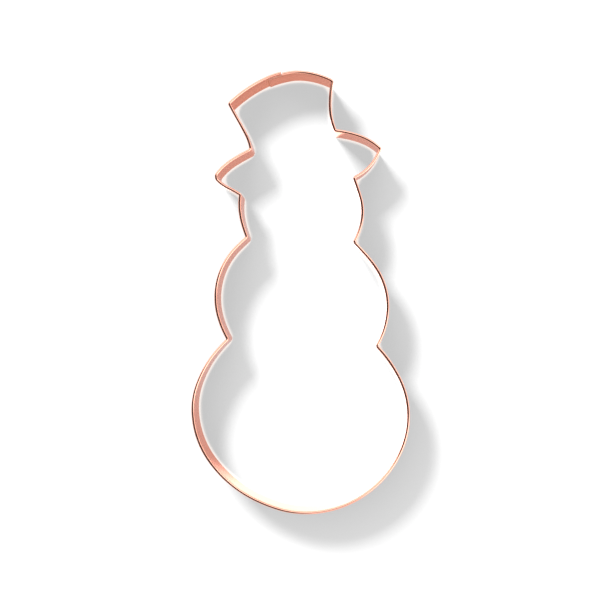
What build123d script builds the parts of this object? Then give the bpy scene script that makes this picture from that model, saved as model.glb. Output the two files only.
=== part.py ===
"""Snowman cookie cutter: one copper strip, hemmed along its upper edge, bent on edge into the
outline of a snowman in a tall hat, and closed by a soldered lap at the top of the hat.

Frame: the cutter stands on its cutting edge on z = 0, hem up. +Y runs up the figure to the hat,
+X to its right, and the origin is under the middle of its box. Lengths are in millimetres.
"""
from build123d import *
from math import cos, degrees, radians, sin, sqrt, tan
import os

# Driving dimensions
overall_height = 190.0
overall_width = 93.5
wall_height = 22.2
strip_thickness = 0.5
edge_break = 0.08

# Hem along the upper edge, folded outwards
hem_depth = 3.2
hem_gap = 0.2
fold_flats = 10

# Tight bends, measured at the middle of the strip
outward_bend_radius = 0.7
inward_bend_radius = 1.4
brim_tip_radius = 2.0
hat_root_radius = 1.9

# Lap at the top of the hat: the hemmed end outside, a plain tongue inside
lap_length = 6.3
lap_bend_radius = 33.0
tongue_drop = 0.7
hem_end_gap = 0.3
solder_film = 0.08
solder_leg = 0.35
solder_sag = 0.06
solder_inset = 0.3

# Worked out from the sizes above
fold_radius = strip_thickness + hem_gap / 2
fold_height = wall_height - fold_radius
fold_middle = (strip_thickness + hem_gap) / 2
hem_bottom = wall_height - hem_depth
half_strip = strip_thickness / 2
hem_start = half_strip + hem_gap
hem_reach = hem_start + strip_thickness
tongue_height = wall_height - tongue_drop
line_width = overall_width - 2 * hem_reach
line_height = overall_height - 2 * hem_reach

# Middle line of the strip, clockwise from the top of the hat. x and y are shares of the width
# and height of that line, from its middle. The headings, in degrees, are the way the strip runs
# into and out of the point; they differ where it has a tight bend, whose radius follows.
outline_shares = [
    ("hat top", -0.020, 0.500, 0, 0, None),
    ("hat corner right", 0.146, 0.480, -26, -101, outward_bend_radius),
    ("hat root right", 0.161, 0.366, -68, -7, inward_bend_radius),
    ("brim tip right", 0.369, 0.326, -42, -111, outward_bend_radius),
    ("cheek right", 0.246, 0.261, -154, -70, inward_bend_radius),
    ("head right", 0.287, 0.180, -91, -91, None),
    ("neck right", 0.247, 0.113, -117, -46, inward_bend_radius),
    ("shoulder right", 0.349, 0.055, -56, -56, None),
    ("waist right", 0.352, -0.123, -120, -47, inward_bend_radius),
    ("belly right", 0.500, -0.282, -90, -90, None),
    ("belly low right", 0.411, -0.406, -127, -127, None),
    ("belly bottom", 0.024, -0.500, 180, 180, None),
    ("belly foot left", -0.221, -0.468, 153, 153, None),
    ("belly left", -0.500, -0.267, 90, 90, None),
    ("belly high left", -0.436, -0.167, 59, 59, None),
    ("waist left", -0.335, -0.108, 44, 119, inward_bend_radius),
    ("torso left", -0.393, -0.012, 90, 90, None),
    ("shoulder left", -0.334, 0.080, 55, 55, None),
    ("neck left", -0.246, 0.125, 43, 112, inward_bend_radius),
    ("cheek left", -0.277, 0.223, 82, 148, inward_bend_radius),
    ("brim tip left", -0.399, 0.263, 135, 51, brim_tip_radius),
    ("hat root left", -0.228, 0.324, 26, 101, hat_root_radius),
    ("hat side left", -0.253, 0.361, 117, 117, None),
    ("hat corner left", -0.330, 0.430, 118, 43, outward_bend_radius),
]
lap_x_share = -0.089
lap_y_share = 0.498
lap_heading = 13


def along(heading):
    """Unit vector that points along a heading."""
    return Vector(cos(radians(heading)), sin(radians(heading)))


def from_shares(x_share, y_share):
    """Point of the middle line, from shares of the line's width and height."""
    return Vector(x_share * line_width, y_share * line_height)


def add_run(start, heading_out, end, heading_in):
    """Add two arcs that meet smoothly and run from start to end with the headings asked for."""
    leaving, arriving = along(heading_out), along(heading_in)
    chord = end - start
    spread = 2 * (1 - leaving.dot(arriving))
    pull = chord.dot(leaving + arriving)
    if abs(heading_in - heading_out) < 1:
        reach = chord.dot(chord) / (2 * pull)
    else:
        reach = (sqrt(pull * pull + spread * chord.dot(chord)) - pull) / spread
    middle = (start + end + (leaving - arriving) * reach) / 2
    first = TangentArc(start, middle, tangent=leaving)
    TangentArc(middle, end, tangent=first % 1)


def add_outline(start, heading):
    """Add the runs and bends of the outline, from the lap round to the hat's left corner."""
    for name, x_share, y_share, heading_in, heading_out, bend_radius in outline_shares:
        point = from_shares(x_share, y_share)
        if bend_radius is None:
            add_run(start, heading, point, heading_in)
            start = point
        else:
            turn = heading_out - heading_in
            setback = bend_radius * tan(radians(abs(turn) / 2))
            bend_start = point - along(heading_in) * setback
            add_run(start, heading, bend_start, heading_in)
            bend = JernArc(bend_start, along(heading_in), bend_radius, turn)
            start = bend @ 1
        heading = heading_out
    return start, heading


# The lap is an arc about one centre: the outer layer on it, the tongue inside by one step
layer_step = strip_thickness + solder_film
tongue_radius = lap_bend_radius - layer_step
lap_turn = degrees(lap_length / lap_bend_radius)
lap_start_heading = lap_heading + lap_turn
hem_turn = degrees(hem_end_gap / tongue_radius)
hem_heading = lap_heading - hem_turn
lap_end = from_shares(lap_x_share, lap_y_share)
lap_centre = lap_end - along(lap_heading + 90) * lap_bend_radius


def on_lap(heading, radius):
    """Point of a circle about the centre of the lap where the strip has that heading."""
    return lap_centre + along(heading + 90) * radius


def across(point, heading):
    """Plane across the strip: its x points out of the cutter and its y points up."""
    outward = along(heading + 90)
    return Plane(origin=point, x_dir=outward, z_dir=along(heading))


def fold_points():
    """Points of the half round over the hem, in the section's plane, from outside to inside."""
    points = []
    for flat in range(fold_flats + 1):
        angle = radians(180 * flat / fold_flats)
        x = fold_middle + fold_radius * cos(angle)
        points.append((x, fold_height + fold_radius * sin(angle)))
    return points


def add_lap_sector(heading_from, heading_to, outer_radius, inner_radius):
    """Add the outline of the space between two circles of the lap and between two headings."""
    sector_angle = heading_to - heading_from
    outer = CenterArc(lap_centre, outer_radius, heading_from + 90, sector_angle)
    inner = CenterArc(lap_centre, inner_radius, heading_from + 90, sector_angle)
    Line(outer @ 0, inner @ 0)
    Line(outer @ 1, inner @ 1)


def add_fillet(corner_heading, corner_radius, turn, climb):
    """Add the outline of the hollow fillet between one layer's face and the other's end."""
    foot = CenterArc(lap_centre, corner_radius, corner_heading + 90, turn)
    end_face = Line(foot @ 0, on_lap(corner_heading, corner_radius + climb))
    SagittaArc(foot @ 1, end_face @ 1, solder_sag)


with BuildPart() as band:
    # Hemmed strip, swept round the whole outline to the free end of the outer layer
    with BuildLine():
        hemmed_start = on_lap(hem_heading, tongue_radius)
        last, last_heading = add_outline(hemmed_start, hem_heading)
        lap_start = on_lap(lap_start_heading, lap_bend_radius)
        add_run(last, last_heading, lap_start, lap_start_heading)
        JernArc(lap_start, along(lap_start_heading), lap_bend_radius, -lap_turn)
    with BuildSketch(across(hemmed_start, hem_heading)) as hemmed_section:
        with BuildLine():
            Polyline(
                *fold_points(),
                (-half_strip, 0),
                (half_strip, 0),
                (half_strip, fold_height),
                (hem_start, fold_height),
                (hem_start, hem_bottom),
                (hem_reach, hem_bottom),
                close=True,
            )
        make_face()
        lower_edge = hemmed_section.vertices().group_by(Axis.Y)[0]
        chamfer(lower_edge, length=edge_break)
    sweep()
    # Plain tongue that goes on from there inside the outer layer
    with BuildLine():
        tongue_start = on_lap(lap_start_heading, tongue_radius)
        JernArc(tongue_start, along(lap_start_heading), tongue_radius, -lap_turn - hem_turn)
    with BuildSketch(across(tongue_start, lap_start_heading)) as tongue_section:
        with Locations((0, tongue_height / 2)):
            Rectangle(strip_thickness, tongue_height)
        lower_edge = tongue_section.vertices().group_by(Axis.Y)[0]
        chamfer(lower_edge, length=edge_break)
    sweep()

# Solder: the film between the layers and a fillet along the free end of each
tongue_face = tongue_radius + half_strip
outer_layer_face = lap_bend_radius - half_strip
fillet_turn = degrees(solder_leg / tongue_face)
film_height = tongue_height - 2 * solder_inset
outer_fillet_height = hem_bottom - 2 * solder_inset

with BuildPart() as lap_solder:
    with BuildSketch(Plane.XY.offset(solder_inset)):
        with BuildLine():
            add_lap_sector(lap_start_heading, lap_heading, outer_layer_face, tongue_face)
        make_face()
        with BuildLine():
            add_fillet(lap_start_heading, outer_layer_face, fillet_turn, -solder_leg)
        make_face()
    extrude(amount=film_height)
    with BuildSketch(Plane.XY.offset(solder_inset)):
        with BuildLine():
            add_fillet(lap_heading, tongue_face, -fillet_turn, solder_leg)
        make_face()
    extrude(amount=outer_fillet_height)

band.part.label = "band"
lap_solder.part.label = "lap_solder"

os.makedirs("parts", exist_ok=True)
export_step(band.part, "parts/band.step")
export_step(lap_solder.part, "parts/lap_solder.step")
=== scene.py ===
"""Looks of the snowman cookie cutter: bright copper strip on a plain white table, seen from above.

The visible band is swept again here along the outline of the CAD band, with a finer section:
a round fold, rounded edges and a map that runs along the strip for its rolling grain.
"""
import math

import bpy
from mathutils import Matrix, Vector


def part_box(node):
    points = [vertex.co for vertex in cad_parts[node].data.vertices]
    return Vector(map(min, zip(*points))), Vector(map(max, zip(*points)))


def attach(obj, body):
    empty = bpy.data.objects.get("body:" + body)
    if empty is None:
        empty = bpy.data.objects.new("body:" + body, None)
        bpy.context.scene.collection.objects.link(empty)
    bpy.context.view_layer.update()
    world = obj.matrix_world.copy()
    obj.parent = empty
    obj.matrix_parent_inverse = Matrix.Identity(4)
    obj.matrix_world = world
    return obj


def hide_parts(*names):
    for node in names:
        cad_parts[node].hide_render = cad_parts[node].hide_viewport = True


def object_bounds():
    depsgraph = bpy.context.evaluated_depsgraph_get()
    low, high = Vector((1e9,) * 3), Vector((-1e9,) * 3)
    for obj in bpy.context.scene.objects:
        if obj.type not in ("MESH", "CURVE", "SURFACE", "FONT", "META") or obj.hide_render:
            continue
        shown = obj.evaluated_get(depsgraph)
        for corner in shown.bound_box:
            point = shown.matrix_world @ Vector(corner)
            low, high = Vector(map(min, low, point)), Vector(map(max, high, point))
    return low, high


# The camera stands over the right of the torso and looks almost straight down
EYE = Vector((0.02324, -0.01298, 0.7210))
AIM = Vector((-0.00014, -0.00344, 0.0222))
LENS_MM = 98.1
NEAREST = 0.01

# Strip and hem, as in the CAD band, in metres
STRIP = 0.0005
HEM_GAP = 0.0002
HEM_DEPTH = 0.0032
OUTWARD_BEND = 0.0007
INWARD_BEND = 0.0014
BRIM_TIP_BEND = 0.0020
HAT_ROOT_BEND = 0.0019

# Section: radius of the free edges, distance of the bracing points from the ends of a long side,
# and steps over the fold, round the inside of it and round a free edge
EDGE_ROUND = 0.00012
BRACE = 0.00012
FOLD_STEPS = 16
GAP_STEPS = 6
EDGE_STEPS = 3

# Lap at the top of the hat
LAP = 0.0063
LAP_BEND = 0.033
LAP_END = (-0.089, 0.498)
LAP_HEADING = 13
HEM_END_GAP = 0.0003
TONGUE_DROP = 0.0007
SOLDER_FILM = 0.00008

# Middle line of the strip: shares of its width and height, headings in and out, bend radius
OUTLINE_SHARES = [
    (-0.020, 0.500, 0, 0, None),
    (0.146, 0.480, -26, -101, OUTWARD_BEND),
    (0.161, 0.366, -68, -7, INWARD_BEND),
    (0.369, 0.326, -42, -111, OUTWARD_BEND),
    (0.246, 0.261, -154, -70, INWARD_BEND),
    (0.287, 0.180, -91, -91, None),
    (0.247, 0.113, -117, -46, INWARD_BEND),
    (0.349, 0.055, -56, -56, None),
    (0.352, -0.123, -120, -47, INWARD_BEND),
    (0.500, -0.282, -90, -90, None),
    (0.411, -0.406, -127, -127, None),
    (0.024, -0.500, 180, 180, None),
    (-0.221, -0.468, 153, 153, None),
    (-0.500, -0.267, 90, 90, None),
    (-0.436, -0.167, 59, 59, None),
    (-0.335, -0.108, 44, 119, INWARD_BEND),
    (-0.393, -0.012, 90, 90, None),
    (-0.334, 0.080, 55, 55, None),
    (-0.246, 0.125, 43, 112, INWARD_BEND),
    (-0.277, 0.223, 82, 148, INWARD_BEND),
    (-0.399, 0.263, 135, 51, BRIM_TIP_BEND),
    (-0.228, 0.324, 26, 101, HAT_ROOT_BEND),
    (-0.253, 0.361, 117, 117, None),
    (-0.330, 0.430, 118, 43, OUTWARD_BEND),
]

# Longest step along the strip and largest turn between two samples of its path, the value below
# which an arc is taken as straight, and the angle from which an edge is shaded sharp
MAX_STEP = 0.0010
MAX_TURN = math.radians(6)
STRAIGHT = 0.0001
SHARP = math.radians(35)

# Lights at the upper left: a key that casts the shadow and a broader, weaker one about it
LIGHTS = {
    "key": {"azimuth": 127, "elevation": 45, "distance": 3.0, "wide": 0.75, "high": 0.75, "power": 112},
    "broad key": {"azimuth": 112, "elevation": 42, "distance": 3.0, "wide": 3.0, "high": 1.6, "power": 14},
}

# Room: dim as a lamp, and in the metal white with patches on it: a fill and a key soft box, the
# dark side and the dark gap over the top. Reach and width are half the patch's angle.
ROOM = 0.12
WHITE_ROOM = 1.2
PATCHES = [
    {"azimuth": 3, "elevation": 35, "reach": 50, "width": 50, "strength": 2.7},
    {"azimuth": 120, "elevation": 38, "reach": 45, "width": 45, "strength": 1.75},
    {"azimuth": 212, "elevation": 25, "reach": 50, "width": 48, "strength": 0.05},
    {"azimuth": 18, "elevation": 74, "reach": 50, "width": 17, "strength": 0.1},
]
SOFTNESS = 0.05

# Copper: its colour, its tint at a grazing view, and the darker line in the step under the hem,
# partly tarnish and partly painted shade.
# The solder is nearly as red, since the photograph shows no silver line at the lap.
COPPER = (0.97, 0.50, 0.38)
COPPER_EDGE = (1.0, 0.53, 0.416)
TARNISH_AND_PAINTED_SHADE = (0.50, 0.22, 0.14)
TARNISH_AND_PAINTED_SHADE_WIDTH = 0.0005
# The solder's red is a painted reflection of the copper beside it.
SOLDER = (0.92, 0.52, 0.36)

# Grain and unevenness: the noise's stretch, the share of the colour that its dark parts keep, the
# roughness from its dark to its light parts, and the depth of the grain in metres
NOISE_MIDDLE = (0.3, 0.7)
GRAIN_STRETCH = (60, 9000, 1)
GRAIN_DETAIL = 4
GRAIN_SHADE = 0.95
GRAIN_DEPTH = 0.0000005
POLISH_STRETCH = (120, 200, 1)
POLISH_ROUGHNESS = (0.04, 0.09)
SKIN_STRETCH = (900, 900, 300)
SKIN_SHADE = 0.85
SKIN_ROUGHNESS = (0.3, 0.5)
MOTTLE_STRETCH = (30, 30, 30)
MOTTLE_SHADE = 0.99
FEW_DETAILS = 2

# Table: its shade, and its glow beside a wall and in the open, from half open to all open.
# The lower glow beside a wall is painted shade.
TABLE = 0.52
TABLE_ROUGHNESS = 0.9
FLOOR_SIZE = 6
PAINTED_SHADE_GLOW_BY_WALL = 0.48
GLOW = 0.63
WALL_REACH = 0.025
WALL_OPENNESS = (0.5, 1)

# Painted light at the foot of a wall: a pale line, and in the metal a brighter table there for the light
# that the wall throws down. Each pair is the openness at which it starts and at which it is whole.
FOOT_REACH = 0.004
PAINTED_FOOT_LINE_OPENNESS = (0.66, 0.56)
PAINTED_FOOT_GLEAM = 0.42
PAINTED_FOOT_TINT = (1.0, 0.90, 0.84)
PAINTED_THROWN_LIGHT_OPENNESS = (0.98, 0.86)
PAINTED_FOOT_IN_METAL = 2.5
PAINTED_FOOT_GLOW_IN_METAL = 0.24


def unit(degrees):
    """Unit vector in the plane of the table at a heading."""
    return Vector((math.cos(math.radians(degrees)), math.sin(math.radians(degrees))))


class Path:
    """Samples of a line in the plane of the table, each a point and a heading in radians."""

    def __init__(self, point, heading):
        self.samples = [(point, math.radians(heading))]

    def add_arc(self, chord, half_turn):
        """Go on by an arc of that chord, which turns by twice half_turn."""
        start, heading = self.samples[-1]
        turn = 2 * half_turn
        steps = max(1, math.ceil(abs(turn) / MAX_TURN), math.ceil(chord / MAX_STEP))
        for step in range(1, steps + 1):
            part = turn * step / steps
            if abs(half_turn) < STRAIGHT:
                reach = chord * step / steps
            else:
                reach = chord * math.sin(part / 2) / math.sin(half_turn)
            way = Vector((math.cos(heading + part / 2), math.sin(heading + part / 2)))
            self.samples.append((start + way * reach, heading + part))

    def arc_to(self, end):
        """Go on by the arc that reaches a point without a kink."""
        start, heading = self.samples[-1]
        chord = end - start
        half = math.atan2(chord.y, chord.x) - heading
        self.add_arc(chord.length, math.remainder(half, 2 * math.pi))

    def run_to(self, end, heading_in):
        """Go on by two arcs that reach a point with a heading."""
        start, heading = self.samples[-1]
        leaving = Vector((math.cos(heading), math.sin(heading)))
        arriving = unit(heading_in)
        chord = end - start
        spread = 2 * (1 - leaving.dot(arriving))
        pull = chord.dot(leaving + arriving)
        if spread < STRAIGHT:
            reach = chord.length_squared / (2 * pull)
        else:
            root = math.sqrt(pull * pull + spread * chord.length_squared)
            reach = (root - pull) / spread
        self.arc_to((start + end + (leaving - arriving) * reach) / 2)
        self.arc_to(end)

    def bend(self, radius, turn):
        """Go on by a tight bend of that radius and turn in degrees."""
        half = math.radians(turn) / 2
        self.add_arc(2 * radius * math.sin(abs(half)), half)


def rounded_corner(corner, before, after):
    """Points of the arc that rounds a free edge, a square corner between two other points."""
    corner, before, after = Vector(corner), Vector(before), Vector(after)
    first = (before - corner).normalized()
    second = (after - corner).normalized()
    centre = corner + (first + second) * EDGE_ROUND
    points = []
    for step in range(EDGE_STEPS + 1):
        angle = math.pi / 2 * step / EDGE_STEPS
        points.append(centre - (second * math.cos(angle) + first * math.sin(angle)) * EDGE_ROUND)
    return points


def braced(points):
    """Section with a point added near both ends of each long side, which keeps its shading flat."""
    whole = []
    for place, point in enumerate(points):
        after = points[(place + 1) % len(points)]
        way = after - point
        whole.append(point)
        if way.length > 5 * BRACE:
            whole.append(point + way.normalized() * BRACE)
            whole.append(after - way.normalized() * BRACE)
    return whole


def half_circle(centre, radius, steps, start=0, turn=180):
    """Points of a half circle in the section's plane, from a starting angle, in degrees."""
    angles = [math.radians(start + turn * step / steps) for step in range(steps + 1)]
    return [Vector(centre) + Vector((math.cos(a), math.sin(a))) * radius for a in angles]


def hemmed_section(height):
    """Section of the hemmed strip: x points out of the cutter, y points up."""
    half = STRIP / 2
    leg_inside = half + HEM_GAP
    leg_outside = leg_inside + STRIP
    fold = STRIP + HEM_GAP / 2
    fold_centre = (half + HEM_GAP / 2, height - fold)
    leg_end = height - HEM_DEPTH
    leg_corners = [(leg_inside, leg_end), (leg_outside, leg_end)]
    points = half_circle(fold_centre, fold, FOLD_STEPS)
    points += rounded_corner((-half, 0), (-half, height), (half, 0))
    points += rounded_corner((half, 0), (-half, 0), (half, height))
    points += half_circle(fold_centre, HEM_GAP / 2, GAP_STEPS, 180, -180)
    points += rounded_corner(leg_corners[0], (leg_inside, height), leg_corners[1])
    points += rounded_corner(leg_corners[1], leg_corners[0], (leg_outside, height))
    return braced(points)


def plain_section(height):
    """Section of the tongue, with its edges rounded."""
    half = STRIP / 2
    corners = [(half, height), (-half, height), (-half, 0), (half, 0)]
    points = []
    for place, corner in enumerate(corners):
        after = corners[(place + 1) % len(corners)]
        points += rounded_corner(corner, corners[place - 1], after)
    return braced(points)


def sweep(path, section, vertices, faces, maps):
    """Add the skin that a section leaves along a path, closed by a face at each end."""
    first, count = len(vertices), len(section)
    around = [0.0]
    for place in range(count):
        around.append(around[-1] + (section[(place + 1) % count] - section[place]).length)
    travelled, last = 0.0, path.samples[0][0]
    distances = []
    for point, heading in path.samples:
        travelled += (point - last).length
        last = point
        distances.append(travelled)
        outward = Vector((-math.sin(heading), math.cos(heading)))
        for across in section:
            place = point + outward * across.x
            vertices.append((place.x, place.y, across.y))
    for ring in range(len(path.samples) - 1):
        for place in range(count):
            beside = (place + 1) % count
            low = first + ring * count
            faces.append((low + place, low + beside, low + count + beside, low + count + place))
            u0, u1 = distances[ring], distances[ring + 1]
            v0, v1 = around[place], around[place + 1]
            maps.append(((u0, v0), (u0, v1), (u1, v1), (u1, v0)))
    end = first + (len(path.samples) - 1) * count
    faces.append(tuple(range(first + count - 1, first - 1, -1)))
    faces.append(tuple(range(end, end + count)))
    for travel in (0.0, travelled):
        maps.append([(travel, around[place]) for place in range(count)])


def make_band(low, high):
    """The whole strip, hemmed and with its tongue, in the box of the CAD band."""
    reach = STRIP / 2 + HEM_GAP + STRIP
    width = high.x - low.x - 2 * reach
    length = high.y - low.y - 2 * reach

    def from_shares(x_share, y_share):
        return Vector((x_share * width, y_share * length))

    lap_centre = from_shares(*LAP_END) - unit(LAP_HEADING + 90) * LAP_BEND
    tongue_bend = LAP_BEND - STRIP - SOLDER_FILM
    lap_turn = math.degrees(LAP / LAP_BEND)
    hem_turn = math.degrees(HEM_END_GAP / tongue_bend)
    lap_start, hem_start = LAP_HEADING + lap_turn, LAP_HEADING - hem_turn

    path = Path(lap_centre + unit(hem_start + 90) * tongue_bend, hem_start)
    for x_share, y_share, heading_in, heading_out, radius in OUTLINE_SHARES:
        corner = from_shares(x_share, y_share)
        if radius is None:
            path.run_to(corner, heading_in)
        else:
            turn = heading_out - heading_in
            setback = radius * math.tan(math.radians(abs(turn)) / 2)
            path.run_to(corner - unit(heading_in) * setback, heading_in)
            path.bend(radius, turn)
    path.run_to(lap_centre + unit(lap_start + 90) * LAP_BEND, lap_start)
    path.bend(LAP_BEND, -lap_turn)

    tongue = Path(lap_centre + unit(lap_start + 90) * tongue_bend, lap_start)
    tongue.bend(tongue_bend, -lap_turn - 2 * hem_turn)

    vertices, faces, maps = [], [], []
    sweep(path, hemmed_section(high.z), vertices, faces, maps)
    sweep(tongue, plain_section(high.z - TONGUE_DROP), vertices, faces, maps)
    mesh = bpy.data.meshes.new("copper_band")
    mesh.from_pydata(vertices, [], faces)
    layer = mesh.uv_layers.new(name="along the strip")
    for place, uv in enumerate(uv for face in maps for uv in face):
        layer.data[place].uv = uv
    mesh.validate()
    mesh.shade_smooth()
    mesh.set_sharp_from_angle(angle=SHARP)
    band = bpy.data.objects.new("copper_band", mesh)
    bpy.context.scene.collection.objects.link(band)
    return band


class Nodes:
    """A node tree and short ways to add nodes to it."""

    def __init__(self, tree):
        self.tree = tree

    def add(self, kind, **values):
        """New node, with values for its inputs, whose names have _ for a space."""
        node = self.tree.nodes.new(kind)
        for name, value in values.items():
            self.put(value, node.inputs[name.replace("_", " ")])
        return node

    def put(self, value, socket):
        """Give a socket a value, or the output of another node."""
        if isinstance(value, bpy.types.NodeSocket):
            self.tree.links.new(value, socket)
        else:
            socket.default_value = value

    def noise(self, coordinates, stretch, detail=3):
        """Noise over coordinates that are first stretched by a factor on each axis."""
        place = self.add("ShaderNodeTexCoord").outputs[coordinates]
        mapping = self.add("ShaderNodeMapping", Vector=place, Scale=stretch)
        vector = mapping.outputs["Vector"]
        return self.add("ShaderNodeTexNoise", Vector=vector, Scale=1, Detail=detail).outputs["Fac"]

    def ranged(self, value, start, end, low, high, steps="LINEAR"):
        """A value that goes from low to high as another goes from start to end."""
        node = self.add(
            "ShaderNodeMapRange", Value=value, From_Min=start, From_Max=end, To_Min=low, To_Max=high
        )
        node.interpolation_type = steps
        return node.outputs["Result"]

    def varied(self, noise, low, high):
        """A value that goes from low to high over the middle of a noise's range."""
        return self.ranged(noise, *NOISE_MIDDLE, low, high)

    def ridge(self, value, start, peak, end):
        """A value that is 1 where another is at the peak, and 0 before the start and past the end."""
        rise = self.ranged(value, start, peak, 0, 1)
        return self.combine("MINIMUM", rise, self.ranged(value, end, peak, 0, 1))

    def blend(self, factor, first, second):
        """Colour that goes from the first to the second as a factor goes from 0 to 1."""
        node = self.add("ShaderNodeMix")
        node.data_type = "RGBA"
        colours = [socket for socket in node.inputs if socket.type == "RGBA"]
        self.put(factor, node.inputs["Factor"])
        for socket, colour in zip(colours, (first, second)):
            self.put((*colour, 1) if isinstance(colour, tuple) else colour, socket)
        return [socket for socket in node.outputs if socket.type == "RGBA"][0]

    def combine(self, operation, first, second=0):
        """Result of a maths operation on one value or two, each a number or an output."""
        node = self.add("ShaderNodeMath")
        node.operation = operation
        self.put(first, node.inputs[0])
        self.put(second, node.inputs[1])
        return node.outputs["Value"]

    def towards(self, way):
        """Cosine of the angle between the world's direction and a unit vector."""
        node = self.add("ShaderNodeVectorMath")
        node.operation = "DOT_PRODUCT"
        self.put(self.add("ShaderNodeTexCoord").outputs["Generated"], node.inputs[0])
        self.put(way, node.inputs[1])
        return node.outputs["Value"]

    def patch(self, under, azimuth, elevation, reach, width, strength):
        """Value that is strength within a patch of the world about a direction, and else under."""
        ahead = self.towards(from_angles(azimuth, elevation))
        aside = self.combine("ABSOLUTE", self.towards(from_angles(azimuth + 90, 0)))
        edge, side = math.cos(math.radians(reach)), math.sin(math.radians(width))
        near = self.ranged(ahead, edge - SOFTNESS, edge + SOFTNESS, 0, 1, "SMOOTHSTEP")
        narrow = self.ranged(aside, side + SOFTNESS, side - SOFTNESS, 0, 1, "SMOOTHSTEP")
        return self.ranged(self.combine("MULTIPLY", near, narrow), 0, 1, under, strength)


class Material(Nodes):
    """A material with one Principled shader."""

    def __init__(self, name):
        self.data = bpy.data.materials.new(name)
        self.data.use_nodes = True
        super().__init__(self.data.node_tree)
        self.tree.nodes.clear()
        self.shader = self.add("ShaderNodeBsdfPrincipled")
        output = self.add("ShaderNodeOutputMaterial")
        self.put(self.shader.outputs["BSDF"], output.inputs["Surface"])

    def bump(self, height, depth):
        """Bump the shader's normal by a height of that depth in metres."""
        node = self.add("ShaderNodeBump", Strength=1, Distance=depth, Height=height)
        self.put(node.outputs["Normal"], self.shader.inputs["Normal"])


def copper(step_start):
    """Bright rolled copper, with grain along the strip and a darker line at one place across it, partly
    tarnish and partly painted shade under the hem.
    """
    made = Material("rolled copper")
    shader = made.shader.inputs
    grain = made.noise("UV", GRAIN_STRETCH, GRAIN_DETAIL)
    polish = made.noise("UV", POLISH_STRETCH, FEW_DETAILS)
    across = made.add("ShaderNodeSeparateXYZ", Vector=made.add("ShaderNodeTexCoord").outputs["UV"])
    step_middle, step_end = step_start + TARNISH_AND_PAINTED_SHADE_WIDTH / 2, step_start + TARNISH_AND_PAINTED_SHADE_WIDTH
    # Darker line under the hem: partly tarnish, partly painted shade.
    line = made.ridge(across.outputs["Y"], step_start, step_middle, step_end)
    darker = tuple(channel * GRAIN_SHADE for channel in COPPER)
    colour = made.blend(made.varied(grain, 0, 1), darker, COPPER)
    made.put(made.blend(line, colour, TARNISH_AND_PAINTED_SHADE), shader["Base Color"])
    made.put(made.varied(polish, *POLISH_ROUGHNESS), shader["Roughness"])
    made.put(1, shader["Metallic"])
    made.put((*COPPER_EDGE, 1), shader["Specular Tint"])
    made.bump(grain, GRAIN_DEPTH)
    return made.data


def solder():
    """Dull solder with a slightly uneven skin, its red a painted reflection of the copper on both sides of
    it.
    """
    made = Material("tin solder")
    shader = made.shader.inputs
    skin = made.noise("Object", SKIN_STRETCH)
    darker = tuple(channel * SKIN_SHADE for channel in SOLDER)
    made.put(made.blend(made.varied(skin, 0, 1), darker, SOLDER), shader["Base Color"])
    made.put(made.varied(skin, *SKIN_ROUGHNESS), shader["Roughness"])
    made.put(1, shader["Metallic"])
    made.put((*COPPER_EDGE, 1), shader["Specular Tint"])
    return made.data


def table():
    """Plain matt table top, lifted to white for the camera and in the metal, that keeps its shadows, with
    painted shade beside the walls and painted light at their feet.
    """
    made = Material("white table")
    shader = made.shader.inputs
    rays = made.add("ShaderNodeLightPath").outputs
    in_metal = made.combine("MAXIMUM", rays["Is Glossy Ray"], rays["Is Transmission Ray"])
    seen = made.combine("MAXIMUM", rays["Is Camera Ray"], in_metal)
    # Painted shade: the glow is lower where walls stand near.
    openness = made.add("ShaderNodeAmbientOcclusion", Distance=WALL_REACH).outputs["AO"]
    by_foot = made.add("ShaderNodeAmbientOcclusion", Distance=FOOT_REACH).outputs["AO"]
    # Painted light: a pale line on the table at each wall's foot.
    painted_foot_line = made.ranged(by_foot, *PAINTED_FOOT_LINE_OPENNESS, 0, 1)
    # Painted light seen in the metal: a much brighter table near each wall's foot.
    painted_thrown_light = made.ranged(by_foot, *PAINTED_THROWN_LIGHT_OPENNESS, 0, 1)
    painted_thrown_light = made.combine("MULTIPLY", in_metal, painted_thrown_light)

    mottle = made.noise("Object", MOTTLE_STRETCH, FEW_DETAILS)
    mottle = made.varied(mottle, TABLE * MOTTLE_SHADE, TABLE)
    made.put(made.ranged(painted_thrown_light, 0, 1, mottle, PAINTED_FOOT_IN_METAL), shader["Base Color"])
    glow = made.ranged(openness, *WALL_OPENNESS, PAINTED_SHADE_GLOW_BY_WALL, GLOW)
    glow = made.combine("ADD", glow, made.combine("MULTIPLY", painted_foot_line, PAINTED_FOOT_GLEAM))
    glow = made.ranged(painted_thrown_light, 0, 1, glow, PAINTED_FOOT_GLOW_IN_METAL)
    made.put(made.combine("MULTIPLY", seen, glow), shader["Emission Strength"])
    made.put(made.blend(painted_foot_line, (1, 1, 1), PAINTED_FOOT_TINT), shader["Emission Color"])

    made.put(TABLE_ROUGHNESS, shader["Roughness"])
    made.put(0, shader["Specular IOR Level"])
    return made.data


def soft_box(name, azimuth, elevation, distance, wide, high, power):
    """Rectangular area light that stands at an azimuth and elevation and faces the cutter."""
    way = from_angles(azimuth, elevation)
    light = bpy.data.lights.new(name, "AREA")
    light.shape = "RECTANGLE"
    light.size = wide
    light.size_y = high
    light.energy = power
    holder = bpy.data.objects.new(name, light)
    holder.location = way * distance
    holder.rotation_euler = way.to_track_quat("Z", "Y").to_euler()
    holder.visible_glossy = False
    bpy.context.scene.collection.objects.link(holder)


def from_angles(azimuth, elevation):
    """Unit vector that points at an azimuth and elevation in degrees."""
    level = unit(azimuth) * math.cos(math.radians(elevation))
    return Vector((level.x, level.y, math.sin(math.radians(elevation))))


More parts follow.
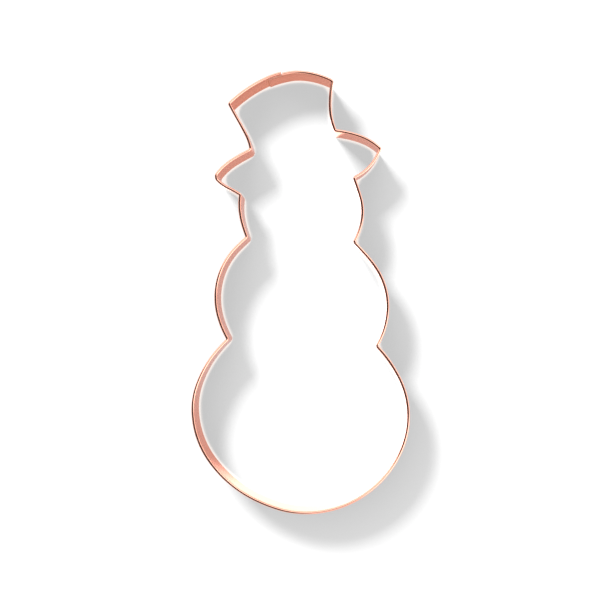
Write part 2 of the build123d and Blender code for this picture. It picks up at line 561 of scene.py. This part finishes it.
def light_room():
    """Soft boxes, and a room white to the camera, dim as a lamp and with patches in the metal."""
    for name, facts in LIGHTS.items():
        soft_box(name, **facts)
    world = bpy.data.worlds.new("room")
    world.use_nodes = True
    made = Nodes(world.node_tree)
    shade = WHITE_ROOM
    for patch in PATCHES:
        shade = made.patch(shade, **patch)
    rays = made.add("ShaderNodeLightPath").outputs
    strength = made.ranged(rays["Is Glossy Ray"], 0, 1, ROOM, shade)
    white = made.combine("MAXIMUM", rays["Is Camera Ray"], rays["Is Transmission Ray"])
    backdrop = made.tree.nodes["Background"].inputs
    made.put((1, 1, 1, 1), backdrop["Color"])
    made.put(made.combine("MAXIMUM", strength, white), backdrop["Strength"])
    bpy.context.scene.world = world


def place_camera():
    """Camera at the photograph's place, level with the figure's width."""
    look = (AIM - EYE).normalized()
    right = look.cross(Vector((0, 1, 0))).normalized()
    turn = Matrix((right, right.cross(look), -look)).transposed().to_4x4()
    lens = bpy.data.cameras.new("camera")
    lens.lens = LENS_MM
    lens.clip_start = NEAREST
    camera = bpy.data.objects.new("camera", lens)
    camera.matrix_world = Matrix.Translation(EYE) @ turn
    bpy.context.scene.collection.objects.link(camera)
    bpy.context.scene.camera = camera


def box_as_list(bounds):
    """The two corners of a box as plain lists."""
    return [list(corner) for corner in bounds]


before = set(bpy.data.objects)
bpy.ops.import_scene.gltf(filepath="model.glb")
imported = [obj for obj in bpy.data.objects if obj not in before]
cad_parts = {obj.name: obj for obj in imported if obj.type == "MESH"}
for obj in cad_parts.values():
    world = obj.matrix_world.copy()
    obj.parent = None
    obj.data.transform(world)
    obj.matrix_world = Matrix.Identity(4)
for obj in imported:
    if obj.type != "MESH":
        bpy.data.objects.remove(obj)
cad_box = box_as_list(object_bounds())

band = make_band(*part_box("band"))
fold = STRIP + HEM_GAP / 2
under_hem = math.pi * fold + (cad_box[1][2] - fold) + STRIP + (cad_box[1][2] - HEM_DEPTH)
# The darker line of tarnish and painted shade lies just under the hem.
band.data.materials.append(copper(under_hem - TARNISH_AND_PAINTED_SHADE_WIDTH))
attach(band, "root")
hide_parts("band")
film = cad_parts["lap_solder"]
film.data.materials.clear()
film.data.materials.append(solder())
# The metal throws no pink light on the table, where the photograph shows none
for metal in (band, film):
    metal.visible_diffuse = False

bpy.ops.mesh.primitive_plane_add(size=FLOOR_SIZE, location=(0, 0, 0))
floor = bpy.context.object
floor.name = "floor"
floor.data.materials.append(table())

light_room()
place_camera()
bpy.context.scene.view_settings.view_transform = "Standard"
